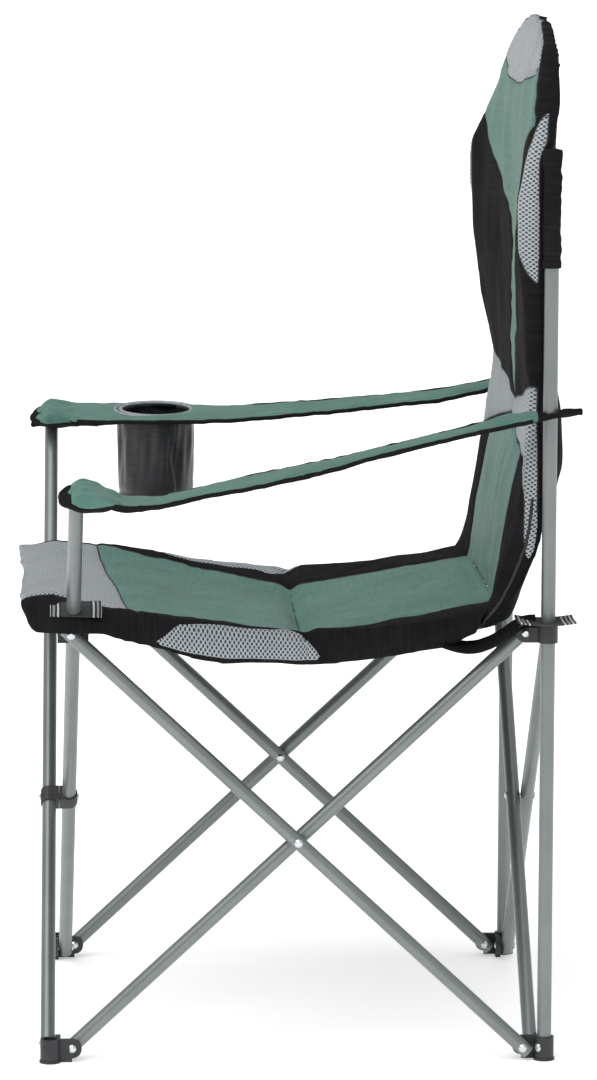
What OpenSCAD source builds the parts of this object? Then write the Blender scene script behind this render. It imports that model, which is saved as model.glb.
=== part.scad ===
// Folding camp chair with a high padded back, hung in a four-scissor tube frame.
// +Z is up, the sitter faces -Y and +X is the sitter's left. The origin is on the floor,
// under the middle of the overall box.

/* [Frame] */
// Distance between the two pivots of a foot pair, the same on all four sides
pivot_span = 470; // [460:1:480]
// Height of the foot pivots above the floor
foot_pivot_z = 14; // [14:0.5:16]
// Height of the hub pivots above the floor
hub_pivot_z = 451; // [446:1:456]
// Outer diameter of every tube
tube_d = 15; // [14:0.5:15]
// Wall of every tube
tube_wall = 1.2; // [0.8:0.1:2]
// Gap between two tubes where they cross
cross_gap = 0.4; // [0.2:0.1:0.6]
// Distance from the centre to the plane between a side's two tubes
side_plane = 253; // [253:0.5:254]
// Tube left beyond a pivot hole
end_margin = 8.5; // [8:0.1:8.5]
// Front tube, from its foot pivot to the arm tip
arm_reach = 871; // [860:1:880]
// Top of the rear posts
post_top_z = 946; // [935:1:950]

/* [Rivets] */
// Diameter of a rivet's shank
rivet_d = 4.9; // [4.5:0.1:5]
// Play round a rivet in its hole, on the radius
rivet_play = 0.05; // [0.03:0.01:0.08]
// Diameter of a rivet's head
head_d = 8.4; // [7.5:0.1:8.6]
// Height of a rivet's head
head_h = 1.5; // [1:0.1:1.5]
// Gap under a rivet's head
head_play = 0.15; // [0.1:0.01:0.2]

/* [Seat] */
// Half the width of the seat
seat_half = 262; // [258:1:264]
// Front edge of the seat
seat_front_y = -290; // [-294:1:-286]
// Rear edge of the seat
seat_rear_y = 203; // [198:1:204]
// Thickness of the seat's padding
seat_thick = 29; // [24:1:30]
// How far the middle of the seat hangs below its sides
seat_sag = 16; // [5:1:20]

/* [Back] */
// Half the width of the back
back_half = 262; // [258:1:263]
// Height of the top edge of the back
back_top_z = 1081; // [1070:1:1085]
// Height where the head part starts
head_low_z = 962; // [958:1:966]

/* [Arms] */
// Half the width of an arm's padding
arm_half = 34; // [30:1:36]
// Thickness of an arm's padding
arm_thick = 13; // [10:1:14]
// Height where an arm's strap goes round its post
arm_strap_z = 681; // [676:1:686]
// Inner diameter of the cup holder
cup_d = 84; // [80:1:88]
// Depth of the cup holder's pouch
cup_deep = 88; // [80:1:92]

/* [Hidden] */
$fn = 48;

half_span = pivot_span / 2;
tube_r = tube_d / 2;
bore_r = tube_r - tube_wall;
rise = hub_pivot_z - foot_pivot_z;
bar_len = norm([pivot_span, rise]);
lean = atan2(pivot_span, rise);
outer_x = side_plane + (tube_d + cross_gap) / 2;
inner_x = side_plane - (tube_d + cross_gap) / 2;
hole_r = rivet_d / 2 + rivet_play;

// The rear post stands at the outer corner of its two tube pairs
post_xy = 258;
socket_r = 10.2;
socket_bore_r = tube_r + 0.05;
foot_floor = 3;
foot_top_z = 25;
hub_low_z = 441;
hub_high_z = 462;
lug_r = 10;
lug_gap = 0.3;
lug_inner_x = inner_x + tube_r + lug_gap;
lug_outer_x = outer_x - tube_r - lug_gap;
lug_thick = 5.6;

// The rear one of the two front tubes leans a little towards the back
front_lean = 1.1;
hub_front_y = inner_x - bar_len * sin(front_lean);
clip_y = (inner_x + hub_front_y) / 2;

// Arm tips at the ends of the front tubes
tip_x = arm_reach * sin(lean) - half_span;
tip_z = foot_pivot_z + arm_reach * cos(lean);
tip_left_y = -inner_x + arm_reach * sin(front_lean);
tip_right_y = -outer_x;

silver = [0.60, 0.62, 0.62];
bright = [0.80, 0.81, 0.82];
black = [0.07, 0.07, 0.08];
green = [0.18, 0.42, 0.36];
mesh_grey = [0.58, 0.60, 0.62];
cloth_black = [0.12, 0.12, 0.13];

// Tubes

module hollow_tube(low, high) {
    translate([0, 0, low]) difference() {
        cylinder(r = tube_r, h = high - low);
        translate([0, 0, -1]) cylinder(r = bore_r, h = high - low + 2);
    }
}

// A hole right through a tube, along X
module cross_hole(z) {
    translate([-30, 0, z]) rotate([0, 90, 0]) cylinder(r = hole_r, h = 60);
}

// A tube up from its foot pivot, with its three rivet holes along X
module pivot_tube(top, tilt = 0) {
    difference() {
        rotate([0, -tilt, 0]) hollow_tube(-end_margin, top);
        for (z = [0, bar_len / 2, bar_len]) cross_hole(z);
    }
}

module tube_plugs(top, tilt = 0) {
    plug_in = 3;
    rotate([0, -tilt, 0]) {
        translate([0, 0, -end_margin]) cylinder(r = bore_r - 0.02, h = plug_in);
        translate([0, 0, top - plug_in]) cylinder(r = bore_r - 0.02, h = plug_in);
    }
}

// Places a tube in the outer layer of a side: rear foot up to front hub
module outer_place(turn) {
    rotate([0, 0, turn]) translate([outer_x, half_span, foot_pivot_z]) rotate([lean, 0, 0]) children();
}

// Places a tube in the inner layer of a side: front foot up to rear hub
module inner_place(turn) {
    rotate([0, 0, turn]) translate([inner_x, -half_span, foot_pivot_z]) rotate([-lean, 0, 0]) children();
}

module bar_outer(turn) { color(silver) outer_place(turn) pivot_tube(bar_len + end_margin); }
module bar_inner(turn) { color(silver) inner_place(turn) pivot_tube(bar_len + end_margin); }
module tube_front_outer() { color(silver) outer_place(270) pivot_tube(arm_reach); }
module tube_front_inner() { color(silver) inner_place(270) pivot_tube(arm_reach, front_lean); }
module plugs_outer(turn) { color(black) outer_place(turn) tube_plugs(bar_len + end_margin); }
module plugs_inner(turn) { color(black) inner_place(turn) tube_plugs(bar_len + end_margin); }
module plugs_front_outer() { color(black) outer_place(270) tube_plugs(arm_reach); }
module plugs_front_inner() { color(black) inner_place(270) tube_plugs(arm_reach, front_lean); }

module post(side) {
    color(silver) translate([side * post_xy, post_xy, 0]) difference() {
        hollow_tube(foot_floor + 0.05, post_top_z);
        translate([0, 0, foot_pivot_z]) rotate([0, 0, -side * 45]) cross_hole(0);
    }
}

// Plug in the lower end of a post, below its rivet, and cap on the upper end
module post_plugs(side) {
    plug_in = 12;
    color(black) translate([side * post_xy, post_xy, 0]) {
        translate([0, 0, foot_floor + 0.05]) cylinder(r = bore_r - 0.02, h = 4);
        translate([0, 0, post_top_z - plug_in]) cylinder(r = bore_r - 0.02, h = plug_in);
        translate([0, 0, post_top_z - plug_in]) cylinder(r = bore_r / 2, h = plug_in + 1);
        translate([0, 0, post_top_z + 0.05]) cylinder(r = tube_r, h = 2.5);
    }
}

// Rivets

// A rivet along X through everything from x0 to x1, with a domed head at each end
module rivet(x0, x1) {
    head = head_d / 2;
    rotate([0, 90, 0]) {
        translate([0, 0, x0 - 0.3]) cylinder(d = rivet_d, h = x1 - x0 + 0.6);
        translate([0, 0, x1 + head_play]) cylinder(r1 = head, r2 = head * 0.55, h = head_h);
        translate([0, 0, x0 - head_play - head_h]) cylinder(r1 = head * 0.55, r2 = head, h = head_h);
    }
}

module rivets_outer_pair(z) {
    translate([0, half_span, z]) rivet(lug_outer_x - lug_thick, outer_x + tube_r);
}

module rivets_inner_pair(z) {
    translate([0, half_span, z]) rivet(inner_x - tube_r, lug_inner_x + lug_thick);
}

// Swaps X and Y, which turns a hub's layout into a foot's
module swapped() { mirror([1, -1, 0]) children(); }

module foot_rivets(turn, with_post) {
    color(bright) rotate([0, 0, turn]) {
        rivets_outer_pair(foot_pivot_z);
        swapped() rivets_inner_pair(foot_pivot_z);
        if (with_post) {
            translate([post_xy, post_xy, foot_pivot_z]) rotate([0, 0, -45]) rivet(-socket_r, socket_r);
        }
    }
}

module hub_rivets(turn) {
    color(bright) rotate([0, 0, turn]) {
        rivets_inner_pair(hub_pivot_z);
        swapped() rivets_outer_pair(hub_pivot_z);
    }
}

module cross_rivet(turn) {
    color(bright) rotate([0, 0, turn]) translate([0, 0, foot_pivot_z + rise / 2]) {
        rivet(inner_x - tube_r, outer_x + tube_r);
    }
}

module rivet_front() {
    color(bright) rotate([0, 0, 270]) translate([0, 0, foot_pivot_z + rise / 2]) {
        rivet(clip_y - tube_r - clip_wall, outer_x + tube_r + clip_wall);
    }
}

// Feet and hubs

// A lug plate from x0 to x1, round at its rivet and running back to the corner
module lug(x0, x1, z, low, high) {
    reach = post_xy - half_span - 5;
    difference() {
        union() {
            translate([x0, half_span, z]) rotate([0, 90, 0]) cylinder(r = lug_r, h = x1 - x0);
            translate([x0, half_span, low]) cube([x1 - x0, reach, high - low]);
        }
        translate([x0 - 1, half_span, z]) rotate([0, 90, 0]) cylinder(r = hole_r, h = x1 - x0 + 2);
        translate([x0 - 1, half_span - 30, low - 30]) cube([x1 - x0 + 2, 80, 30]);
        translate([x0 - 1, half_span - 30, high]) cube([x1 - x0 + 2, 80, 30]);
    }
}

// The two lugs of a corner: one beside the inner tube, the other beside the outer tube
module lug_pair(z, low, high) {
    lug(lug_inner_x, lug_inner_x + lug_thick, z, low, high);
    swapped() lug(lug_outer_x - lug_thick, lug_outer_x, z, low, high);
}

// The rear feet hold a post; the front feet are the same moulding with an empty, undrilled socket
module foot(turn, with_post) {
    color(black) rotate([0, 0, turn]) difference() {
        union() {
            swapped() lug_pair(foot_pivot_z, 0, foot_top_z - 1);
            translate([post_xy, post_xy, 0]) cylinder(r = socket_r, h = foot_top_z);
            translate([post_xy, post_xy, 0]) cylinder(r = socket_r + 1, h = 2.4);
        }
        translate([post_xy, post_xy, foot_floor]) cylinder(r = socket_bore_r, h = foot_top_z);
        if (with_post) translate([post_xy, post_xy, foot_pivot_z]) rotate([0, 0, -45]) cross_hole(0);
    }
}

// Rear hub: a sleeve that slides on its post
module hub_rear(turn) {
    color(black) rotate([0, 0, turn]) difference() {
        union() {
            lug_pair(hub_pivot_z, hub_low_z, hub_high_z);
            translate([post_xy, post_xy, hub_low_z]) cylinder(r = socket_r, h = hub_high_z - hub_low_z);
        }
        translate([post_xy, post_xy, hub_low_z - 1]) cylinder(r = socket_bore_r, h = 30);
    }
}

// Front right hub: the same two lugs on a plain corner block, because its tube runs on upwards
module hub_front_right() {
    block = 10;
    color(black) rotate([0, 0, 180]) {
        lug_pair(hub_pivot_z, hub_low_z, hub_high_z);
        translate([lug_outer_x - lug_thick, lug_outer_x - lug_thick, hub_low_z]) {
            cube([block, lug_thick, hub_high_z - hub_low_z]);
        }
    }
}

// Front left hub: a fork round the leaning front tube, with a blind bore for the side bar's rivet
module hub_front_left() {
    cheek_gap = tube_r + lug_gap + 0.2;
    cheek = 8;
    bridge_x = 248.6;
    bridge = lug_outer_x - bridge_x;
    color(black) difference() {
        union() {
            for (y = [-hub_front_y - cheek_gap - cheek, -hub_front_y + cheek_gap]) {
                translate([half_span, y, hub_pivot_z]) rotate([-90, 0, 0]) cylinder(r = lug_r, h = cheek);
                translate([half_span, y, hub_low_z]) cube([lug_outer_x - half_span, cheek, 14]);
            }
            translate([bridge_x, -hub_front_y - cheek_gap - cheek, hub_low_z]) {
                cube([bridge, 2 * (cheek_gap + cheek), 17]);
            }
        }
        translate([half_span, -hub_front_y - 30, hub_pivot_z]) rotate([-90, 0, 0]) {
            cylinder(r = hole_r, h = 60);
        }
        translate([bridge_x + 0.7, -half_span, hub_pivot_z]) rotate([0, 90, 0]) cylinder(r = hole_r, h = 10);
        inner_place(270) rotate([0, -front_lean, 0]) translate([0, 0, bar_len - 60]) {
            cylinder(r = tube_r + 0.4, h = 120);
        }
    }
}

module hub_rivets_front_left() {
    cheek_edge = tube_r + lug_gap + 8.2;
    stub_x = 249.5;
    color(bright) {
        rotate([0, 0, 270]) translate([0, half_span, hub_pivot_z]) {
            rivet(hub_front_y - cheek_edge, hub_front_y + cheek_edge);
        }
        translate([0, -half_span, hub_pivot_z]) rotate([0, 90, 0]) {
            translate([0, 0, stub_x]) cylinder(d = rivet_d, h = outer_x + tube_r + 0.3 - stub_x);
            translate([0, 0, outer_x + tube_r + head_play]) {
                cylinder(r1 = head_d / 2, r2 = head_d * 0.28, h = head_h);
            }
        }
    }
}

// Clip at the front crossing: two saddle plates that turn on one rivet

// The plane where the two halves meet, midway between the tubes
clip_mid = (clip_y + outer_x) / 2;
clip_wall = 1.7;
clip_len = 18;

// Half a clip: a plate at the meeting plane and a ring round the tube
module clip_half(plate_x, tube_x, angle, tilt) {
    ring_r = tube_r + clip_wall;
    reach = abs(tube_x - plate_x);
    translate([0, 0, foot_pivot_z + rise / 2]) difference() {
        rotate([angle, 0, 0]) {
            translate([tube_x, 0, -clip_len / 2]) cylinder(r = ring_r, h = clip_len);
            translate([min(plate_x, tube_x), -ring_r, -clip_len / 2]) cube([reach, 2 * ring_r, clip_len]);
        }
        translate([tube_x, 0, 0]) rotate([angle, 0, 0]) rotate([0, -tilt, 0]) {
            translate([0, 0, -30]) cylinder(r = tube_r + 0.05, h = 60);
        }
        rotate([0, 90, 0]) cylinder(r = hole_r, h = 400);
    }
}

module clip_front() { color(black) rotate([0, 0, 270]) clip_half(clip_mid + 0.1, outer_x, lean, 0); }
module clip_rear() { color(black) rotate([0, 0, 270]) clip_half(clip_mid - 0.1, clip_y, -lean, front_lean); }

// Soft parts: closed solids between two curved surfaces

// Joins two grids of points of one size, the first above or outside the second
module skin(upper, lower) {
    rows = len(upper);
    cols = len(upper[0]);
    total = rows * cols;
    flat_points = [for (grid = [upper, lower]) for (row = grid) for (p = row) p];
    function at(j, i) = j * cols + i;
    function two(a, b, c, d) = [[a, b, c], [a, c, d]];
    faces = [
        for (j = [0 : rows - 2]) for (i = [0 : cols - 2])
            for (t = two(at(j, i), at(j + 1, i), at(j + 1, i + 1), at(j, i + 1))) t,
        for (j = [0 : rows - 2]) for (i = [0 : cols - 2])
            for (t = two(at(j, i), at(j, i + 1), at(j + 1, i + 1), at(j + 1, i))) [for (v = t) v + total],
        for (i = [0 : cols - 2])
            for (t = two(at(0, i), at(0, i + 1), at(0, i + 1) + total, at(0, i) + total)) t,
        for (i = [0 : cols - 2])
            for (t = two(at(rows - 1, i + 1), at(rows - 1, i),
                at(rows - 1, i) + total, at(rows - 1, i + 1) + total)) t,
        for (j = [0 : rows - 2])
            for (t = two(at(j + 1, 0), at(j, 0), at(j, 0) + total, at(j + 1, 0) + total)) t,
        for (j = [0 : rows - 2])
            for (t = two(at(j, cols - 1), at(j + 1, cols - 1),
                at(j + 1, cols - 1) + total, at(j, cols - 1) + total)) t
    ];
    polyhedron(points = flat_points, faces = faces);
}

function steps(a, b, n) = [for (i = [0 : n]) a + (b - a) * i / n];

// Height of the seat's side edge along Y
function seat_edge(y) = lookup(y, [[-290, 470], [-255, 481], [-180, 474], [-90, 459],
    [0, 449], [70, 453], [150, 463], [204, 474]]);
function seat_hang(y) = seat_sag * sin(max(0, 90 * (y + 290) / 250));
function seat_top(x, y) = seat_edge(y) - seat_hang(y) * (1 - pow(x / seat_half, 2));
function seat_point(x, y, drop) = [x, y, seat_top(x, y) - drop];

module seat_slab(y0, y1, rows) {
    cols = 12;
    grid_x = steps(-seat_half, seat_half, cols);
    grid_y = steps(y0, y1, rows);
    skin(
        [for (y = grid_y) [for (x = grid_x) seat_point(x, y, 0)]],
        [for (y = grid_y) [for (x = grid_x) seat_point(x, y, seat_thick)]]
    );
}

seam_y = 8;
module seat_front_pad() {
    notch_in = 218;
    notch_y = -272;
    notch_l = 60;
    color(green) difference() {
        seat_slab(seat_front_y, seam_y - 0.3, 12);
        for (side = [-1, 1]) {
            translate([side > 0 ? notch_in : -notch_in - 60, notch_y, 400]) cube([60, notch_l, 100]);
        }
    }
}

module seat_rear_pad() { color(green) seat_slab(seam_y + 0.3, seat_rear_y, 8); }

// Front surface of the back: the middle hangs behind the sides
function back_mid(z) = lookup(z, [[478, 213], [540, 217], [600, 226], [672, 243], [740, 239], [860, 239],
    [960, 233], [1030, 228], [1062, 240], [1081, 257]]);
function back_side(z) = lookup(z, [[478, 211], [580, 219], [660, 236], [725, 222], [820, 213], [940, 211],
    [1000, 224], [1062, 240], [1081, 257]]);
function back_front(x, z) = let (t = pow(abs(x) / back_half, 2)) back_mid(z) * (1 - t) + back_side(z) * t;
function back_width(z) = lookup(z, [[478, 240], [520, 250], [600, back_half], [1010, back_half],
    [1060, 250], [1081, 225]]);
back_low_z = 478;
back_thick = 22;
back_side_thick = 15;
post_clear = 1;
// Rear surface: it stops ahead of the posts, and the head part is closed over their tops
function back_rear(x, z) = abs(x) < 200 ? back_front(x, z) + back_thick
    : min(abs(x) > 240 ? post_xy - tube_r - post_clear : 400, back_front(x, z) + back_side_thick);
function head_rear(z) = lookup(z, [[962, 266], [1040, 278], [1068, 274], [1081, 262]]);

module back_pad() {
    cols = 14;
    grid_z = steps(back_low_z, head_low_z - 0.3, 16);
    strap_in = 240;
    strap_tall = 32;
    color(green) difference() {
        skin(
            [for (z = grid_z) [for (x = steps(back_width(z), -back_width(z), cols)) [x, back_rear(x, z), z]]],
            [for (z = grid_z) [for (x = steps(back_width(z), -back_width(z), cols)) [x, back_front(x, z), z]]]
        );
        // Gaps beside the posts where the arm straps come through
        for (x = [strap_in, -strap_in - 40]) {
            translate([x, 150, arm_strap_z - strap_tall / 2]) cube([40, 150, strap_tall]);
        }
    }
}

module head_pad() {
    cols = 14;
    grid_z = concat(steps(head_low_z, 1040, 5), [1055, 1068, 1077, back_top_z]);
    color(mesh_grey) skin(
        [for (z = grid_z) [for (x = steps(back_width(z), -back_width(z), cols)) [x, head_rear(z), z]]],
        [for (z = grid_z) [for (x = steps(back_width(z), -back_width(z), cols)) [x, back_front(x, z), z]]]
    );
}

// Fabric tunnel that holds the back on its post, open towards the back's rear surface
module sleeve(side) {
    sleeve_low_z = 831;
    sleeve_tall = 113;
    cloth = 2;
    play = 0.2;
    open_w = 40;
    color(cloth_black) translate([side * post_xy, post_xy, sleeve_low_z]) difference() {
        cylinder(r = tube_r + play + cloth, h = sleeve_tall);
        translate([0, 0, -1]) cylinder(r = tube_r + play, h = sleeve_tall + 2);
        translate([-open_w / 2, -open_w / 2 - tube_r - 0.5, -1]) cube([open_w, open_w / 2, sleeve_tall + 2]);
    }
}

// Arms: a padded strip from the post to the tip of the front tube

// Middle line of an arm, from the strap end behind the post to the tip
function arm_line(side, t) = let (
        end_y = side > 0 ? tip_left_y : tip_right_y,
        strap_y = -seat_front_y,
        y = strap_y + (end_y - strap_y) * t,
        x = post_xy + (tip_x - 12 - post_xy) * pow(t, 1.15),
        z = lookup(t, [[0, arm_strap_z], [0.25, 672], [0.5, 640], [0.78, 613], [0.9, 606], [1, 606]])
    ) [side * x, y, z];
function arm_width(side, t) = side > 0
    ? lookup(t, [[0, 13], [0.1, 15], [0.25, 24], [0.5, arm_half], [1, arm_half]])
    : lookup(t, [[0, 13], [0.1, 15], [0.25, 24], [0.5, arm_half], [0.68, cup_half], [0.9, cup_half]]);
function arm_depth(t) = lookup(t, [[0, 3], [0.12, 7], [0.3, arm_thick], [1, arm_thick]]);

module arm_body(side, t1) {
    cols = 4;
    grid_t = steps(0, t1, 16);
    across = steps(-side, side, cols);
    function at(t, u, up) = arm_line(side, t) + [u * arm_width(side, t), 0, up * arm_depth(t) / 2];
    skin(
        [for (t = grid_t) [for (u = across) at(t, u, 1)]],
        [for (t = grid_t) [for (u = across) at(t, u, -1)]]
    );
}

// The strap has a hole for the post
module arm_post_hole(side) {
    translate([side * post_xy, post_xy, 600]) cylinder(r = tube_r + 0.6, h = 200, $fn = 32);
}

arm_end_t = 0.905;
// Half the width of the right arm round its cup holder
cup_half = cup_d / 2 + 13;
module arm_pad_left() {
    color(green) difference() {
        arm_body(1, arm_end_t);
        arm_post_hole(1);
    }
}

cup_x = -372;
cup_y = -140;
cup_rim_z = 617;
module arm_pad_right() {
    color(green) difference() {
        arm_body(-1, arm_end_t);
        arm_post_hole(-1);
        translate([cup_x, cup_y, 500]) cylinder(r = cup_d / 2 + 4.5, h = 200, $fn = 32);
    }
}

// Pocket over the end of the front tube, open where the tube comes in
module arm_cap(side) {
    end_y = side > 0 ? tip_left_y : tip_right_y;
    cap_front = end_y - 22;
    cap_rear = arm_line(side, arm_end_t)[1] - 0.4;
    cap_half = 36;
    color(cloth_black) difference() {
        hull() {
            for (x = [-1, 1]) {
                translate([side * (tip_x - 12) + x * cap_half - x * 8, cap_front + 8, 612]) {
                    sphere(r = 8, $fn = 24);
                }
                translate([side * (tip_x - 12) + x * cap_half - x * 5, cap_rear - 5, 606]) {
                    sphere(r = 5, $fn = 24);
                }
                translate([side * (tip_x - 10), end_y + x * 6, 616]) sphere(r = 12, $fn = 24);
            }
        }
        if (side > 0) {
            inner_place(270) rotate([0, -front_lean, 0]) translate([0, 0, 700]) {
                cylinder(r = tube_r + 0.3, h = arm_reach - 700 + 0.3);
            }
        } else {
            outer_place(270) translate([0, 0, 700]) cylinder(r = tube_r + 0.3, h = arm_reach - 700 + 0.3);
        }
    }
}

module cup_ring() {
    color(mesh_grey) translate([cup_x, cup_y, cup_rim_z]) rotate_extrude() {
        translate([cup_d / 2 + 2, 0]) circle(r = 2.2, $fn = 24);
    }
}

module cup_pouch() {
    wall = 1.2;
    floor_z = cup_rim_z - 3 - cup_deep;
    color(cloth_black) translate([cup_x, cup_y, floor_z]) difference() {
        cylinder(r1 = cup_d / 2 - 4, r2 = cup_d / 2 + 2, h = cup_deep);
        translate([0, 0, wall]) cylinder(r1 = cup_d / 2 - 4 - wall, r2 = cup_d / 2 + 2 - wall, h = cup_deep);
    }
}

// Webbing at the four seat corners

webbing_thick = 2;
// Striped patch under the seat's rear corner: it lies on the hub, round the post
module webbing_rear(side) {
    patch_w = 34;
    patch_l = 58;
    strap_w = 25;
    patch_z = hub_high_z + 1;
    color(cloth_black) difference() {
        union() {
            translate([side * 254 - patch_w / 2, 226, patch_z]) cube([patch_w, patch_l, webbing_thick]);
            translate([side * 250 - strap_w / 2, 206, patch_z]) cube([strap_w, 22, webbing_thick]);
        }
        translate([side * post_xy, post_xy, hub_low_z]) cylinder(r = tube_r + 0.4, h = 60);
    }
}

// Striped patch on the seat's side band, where the front tube comes out through it
module webbing_front(side) {
    patch_w = 58;
    patch_h = 26;
    patch_low_z = 463.5;
    tube_y = side > 0 ? -hub_front_y - 1 : -outer_x;
    patch_x = side > 0 ? seat_half + 1 : -seat_half - 1 - webbing_thick;
    color(cloth_black) difference() {
        translate([patch_x, tube_y - patch_w / 2, patch_low_z]) {
            cube([webbing_thick, patch_w, patch_h]);
        }
        if (side > 0) {
            inner_place(270) rotate([0, -front_lean, 0]) translate([0, 0, 640]) {
                cylinder(r = tube_r + 0.4, h = 100);
            }
        } else {
            outer_place(270) translate([0, 0, 640]) cylinder(r = tube_r + 0.4, h = 100);
        }
    }
}

post(1);  // post_left
post(-1);  // post_right
post_plugs(1);  // post_plugs_left
post_plugs(-1);  // post_plugs_right
foot(0, true);  // foot_rear_left
foot(90, true);  // foot_rear_right
foot(180, false);  // foot_front_right
foot(270, false);  // foot_front_left
foot_rivets(0, true);  // foot_rivets_rear_left
foot_rivets(90, true);  // foot_rivets_rear_right
foot_rivets(180, false);  // foot_rivets_front_right
foot_rivets(270, false);  // foot_rivets_front_left
hub_rear(0);  // hub_rear_left
hub_rear(90);  // hub_rear_right
hub_front_right();
hub_front_left();
hub_rivets(0);  // hub_rivets_rear_left
hub_rivets(90);  // hub_rivets_rear_right
hub_rivets(180);  // hub_rivets_front_right
hub_rivets_front_left();
bar_outer(0);  // bar_left_outer
bar_inner(0);  // bar_left_inner
bar_outer(90);  // bar_rear_outer
bar_inner(90);  // bar_rear_inner
bar_outer(180);  // bar_right_outer
bar_inner(180);  // bar_right_inner
tube_front_outer();
tube_front_inner();
plugs_outer(0);  // plugs_left_outer
plugs_inner(0);  // plugs_left_inner
plugs_outer(90);  // plugs_rear_outer
plugs_inner(90);  // plugs_rear_inner
plugs_outer(180);  // plugs_right_outer
plugs_inner(180);  // plugs_right_inner
plugs_front_outer();
plugs_front_inner();
cross_rivet(0);  // rivet_left
cross_rivet(90);  // rivet_rear
cross_rivet(180);  // rivet_right
rivet_front();
clip_front();
clip_rear();
seat_front_pad();
seat_rear_pad();
back_pad();
head_pad();
sleeve(1);  // sleeve_left
sleeve(-1);  // sleeve_right
arm_pad_left();
arm_pad_right();
arm_cap(1);  // arm_cap_left
arm_cap(-1);  // arm_cap_right
cup_ring();
cup_pouch();
webbing_rear(1);  // webbing_rear_left
webbing_rear(-1);  // webbing_rear_right
webbing_front(1);  // webbing_front_left
webbing_front(-1);  // webbing_front_right
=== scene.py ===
# Folding camp chair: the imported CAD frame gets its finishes, and the cloth parts are sewn and puffed here
import math

import bmesh
import bpy
import numpy as np
from mathutils import Matrix, Vector, noise
from mathutils.bvhtree import BVHTree


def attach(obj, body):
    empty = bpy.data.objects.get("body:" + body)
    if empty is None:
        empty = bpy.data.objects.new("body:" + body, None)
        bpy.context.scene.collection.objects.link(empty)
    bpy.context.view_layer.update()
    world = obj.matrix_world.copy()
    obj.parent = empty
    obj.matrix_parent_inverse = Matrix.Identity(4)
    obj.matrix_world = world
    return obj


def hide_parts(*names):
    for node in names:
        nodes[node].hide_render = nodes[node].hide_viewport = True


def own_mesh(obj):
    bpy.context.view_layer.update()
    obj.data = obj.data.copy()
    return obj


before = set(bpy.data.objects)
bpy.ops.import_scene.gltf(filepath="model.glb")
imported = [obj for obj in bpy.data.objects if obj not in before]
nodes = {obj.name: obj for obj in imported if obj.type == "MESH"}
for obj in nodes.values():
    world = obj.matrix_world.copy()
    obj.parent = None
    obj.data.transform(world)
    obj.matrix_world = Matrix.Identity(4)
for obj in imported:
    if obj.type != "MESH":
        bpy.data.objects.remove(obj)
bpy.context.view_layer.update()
mm = 0.001


def linearColour(code):
    values = [int(code[i:i + 2], 16) / 255 for i in (1, 3, 5)]
    return [v / 12.92 if v <= 0.04045 else ((v + 0.055) / 1.055) ** 2.4 for v in values] + [1]


def addNode(tree, kind, inputs=None, output=0, stops=None, **settings):
    # Adds a node, links or sets its inputs, and returns one of its outputs; stops are a colour ramp's
    node = tree.nodes.new(kind)
    for name, value in settings.items():
        setattr(node, name, value)
    for name, value in (inputs or {}).items():
        if isinstance(value, bpy.types.NodeSocket):
            tree.links.new(value, node.inputs[name])
        else:
            node.inputs[name].default_value = value
    if stops:
        elements = node.color_ramp.elements
        while len(elements) < len(stops):
            elements.new(0.5)
        for element, (place, colour) in zip(elements, stops):
            element.position = place
            element.color = linearColour(colour)
    return node.outputs[output] if node.outputs else node


def table(value, pairs):
    # A shape's few chosen stations, with straight runs between them
    places, heights = zip(*pairs)
    return np.interp(value, places, heights)


def newObject(name, mesh):
    thing = bpy.data.objects.new(name, mesh)
    bpy.context.scene.collection.objects.link(thing)
    return thing


def meshFrom(name, points, faces):
    mesh = bpy.data.meshes.new(name)
    mesh.from_pydata([tuple(p) for p in points], [], faces)
    mesh.update()
    return mesh


def faceOutwards(mesh, mergeWithin=1e-6):
    shape = bmesh.new()
    shape.from_mesh(mesh)
    bmesh.ops.remove_doubles(shape, verts=shape.verts, dist=mergeWithin)
    bmesh.ops.recalc_face_normals(shape, faces=shape.faces)
    shape.to_mesh(mesh)
    shape.free()


def baked(thing):
    # Turns live modifiers into plain mesh
    bpy.context.view_layer.update()
    result = bpy.data.meshes.new_from_object(thing.evaluated_get(bpy.context.evaluated_depsgraph_get()))
    thing.modifiers.clear()
    thing.data = result
    return thing


def smooth(thing):
    thing.data.shade_smooth()
    return thing


def coords(mesh):
    flat = np.empty(len(mesh.vertices) * 3, np.float32)
    mesh.vertices.foreach_get("co", flat)
    return flat.reshape(-1, 3).astype(float)


def setCoords(mesh, points):
    mesh.vertices.foreach_set("co", np.asarray(points, np.float32).ravel())
    mesh.update()


def storeNumbers(mesh, name, values):
    layer = mesh.attributes.get(name) or mesh.attributes.new(name, "FLOAT", "POINT")
    layer.data.foreach_set("value", np.asarray(values, np.float32))


def readNumbers(mesh, name):
    values = np.empty(len(mesh.vertices), np.float32)
    mesh.attributes[name].data.foreach_get("value", values)
    return values.astype(float)


def storeCloth(mesh, across, along):
    # The cloth's own coordinates, in metres, which every weave reads
    layer = mesh.attributes.get("cloth") or mesh.attributes.new("cloth", "FLOAT_VECTOR", "POINT")
    flat = np.zeros((len(mesh.vertices), 3), np.float32)
    flat[:, 0] = np.asarray(across) * mm
    flat[:, 1] = np.asarray(along) * mm
    layer.data.foreach_set("vector", flat.ravel())


def startMaterial(name, colour, roughness, metallic=0.0, ior=1.5):
    material = bpy.data.materials.new(name)
    material.use_nodes = True
    tree = material.node_tree
    tree.nodes.clear()
    bsdf = addNode(tree, "ShaderNodeBsdfPrincipled", {
        "Base Color": linearColour(colour), "Roughness": roughness, "Metallic": metallic, "IOR": ior})
    addNode(tree, "ShaderNodeOutputMaterial", {"Surface": bsdf})
    return material, tree, bsdf.node


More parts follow.
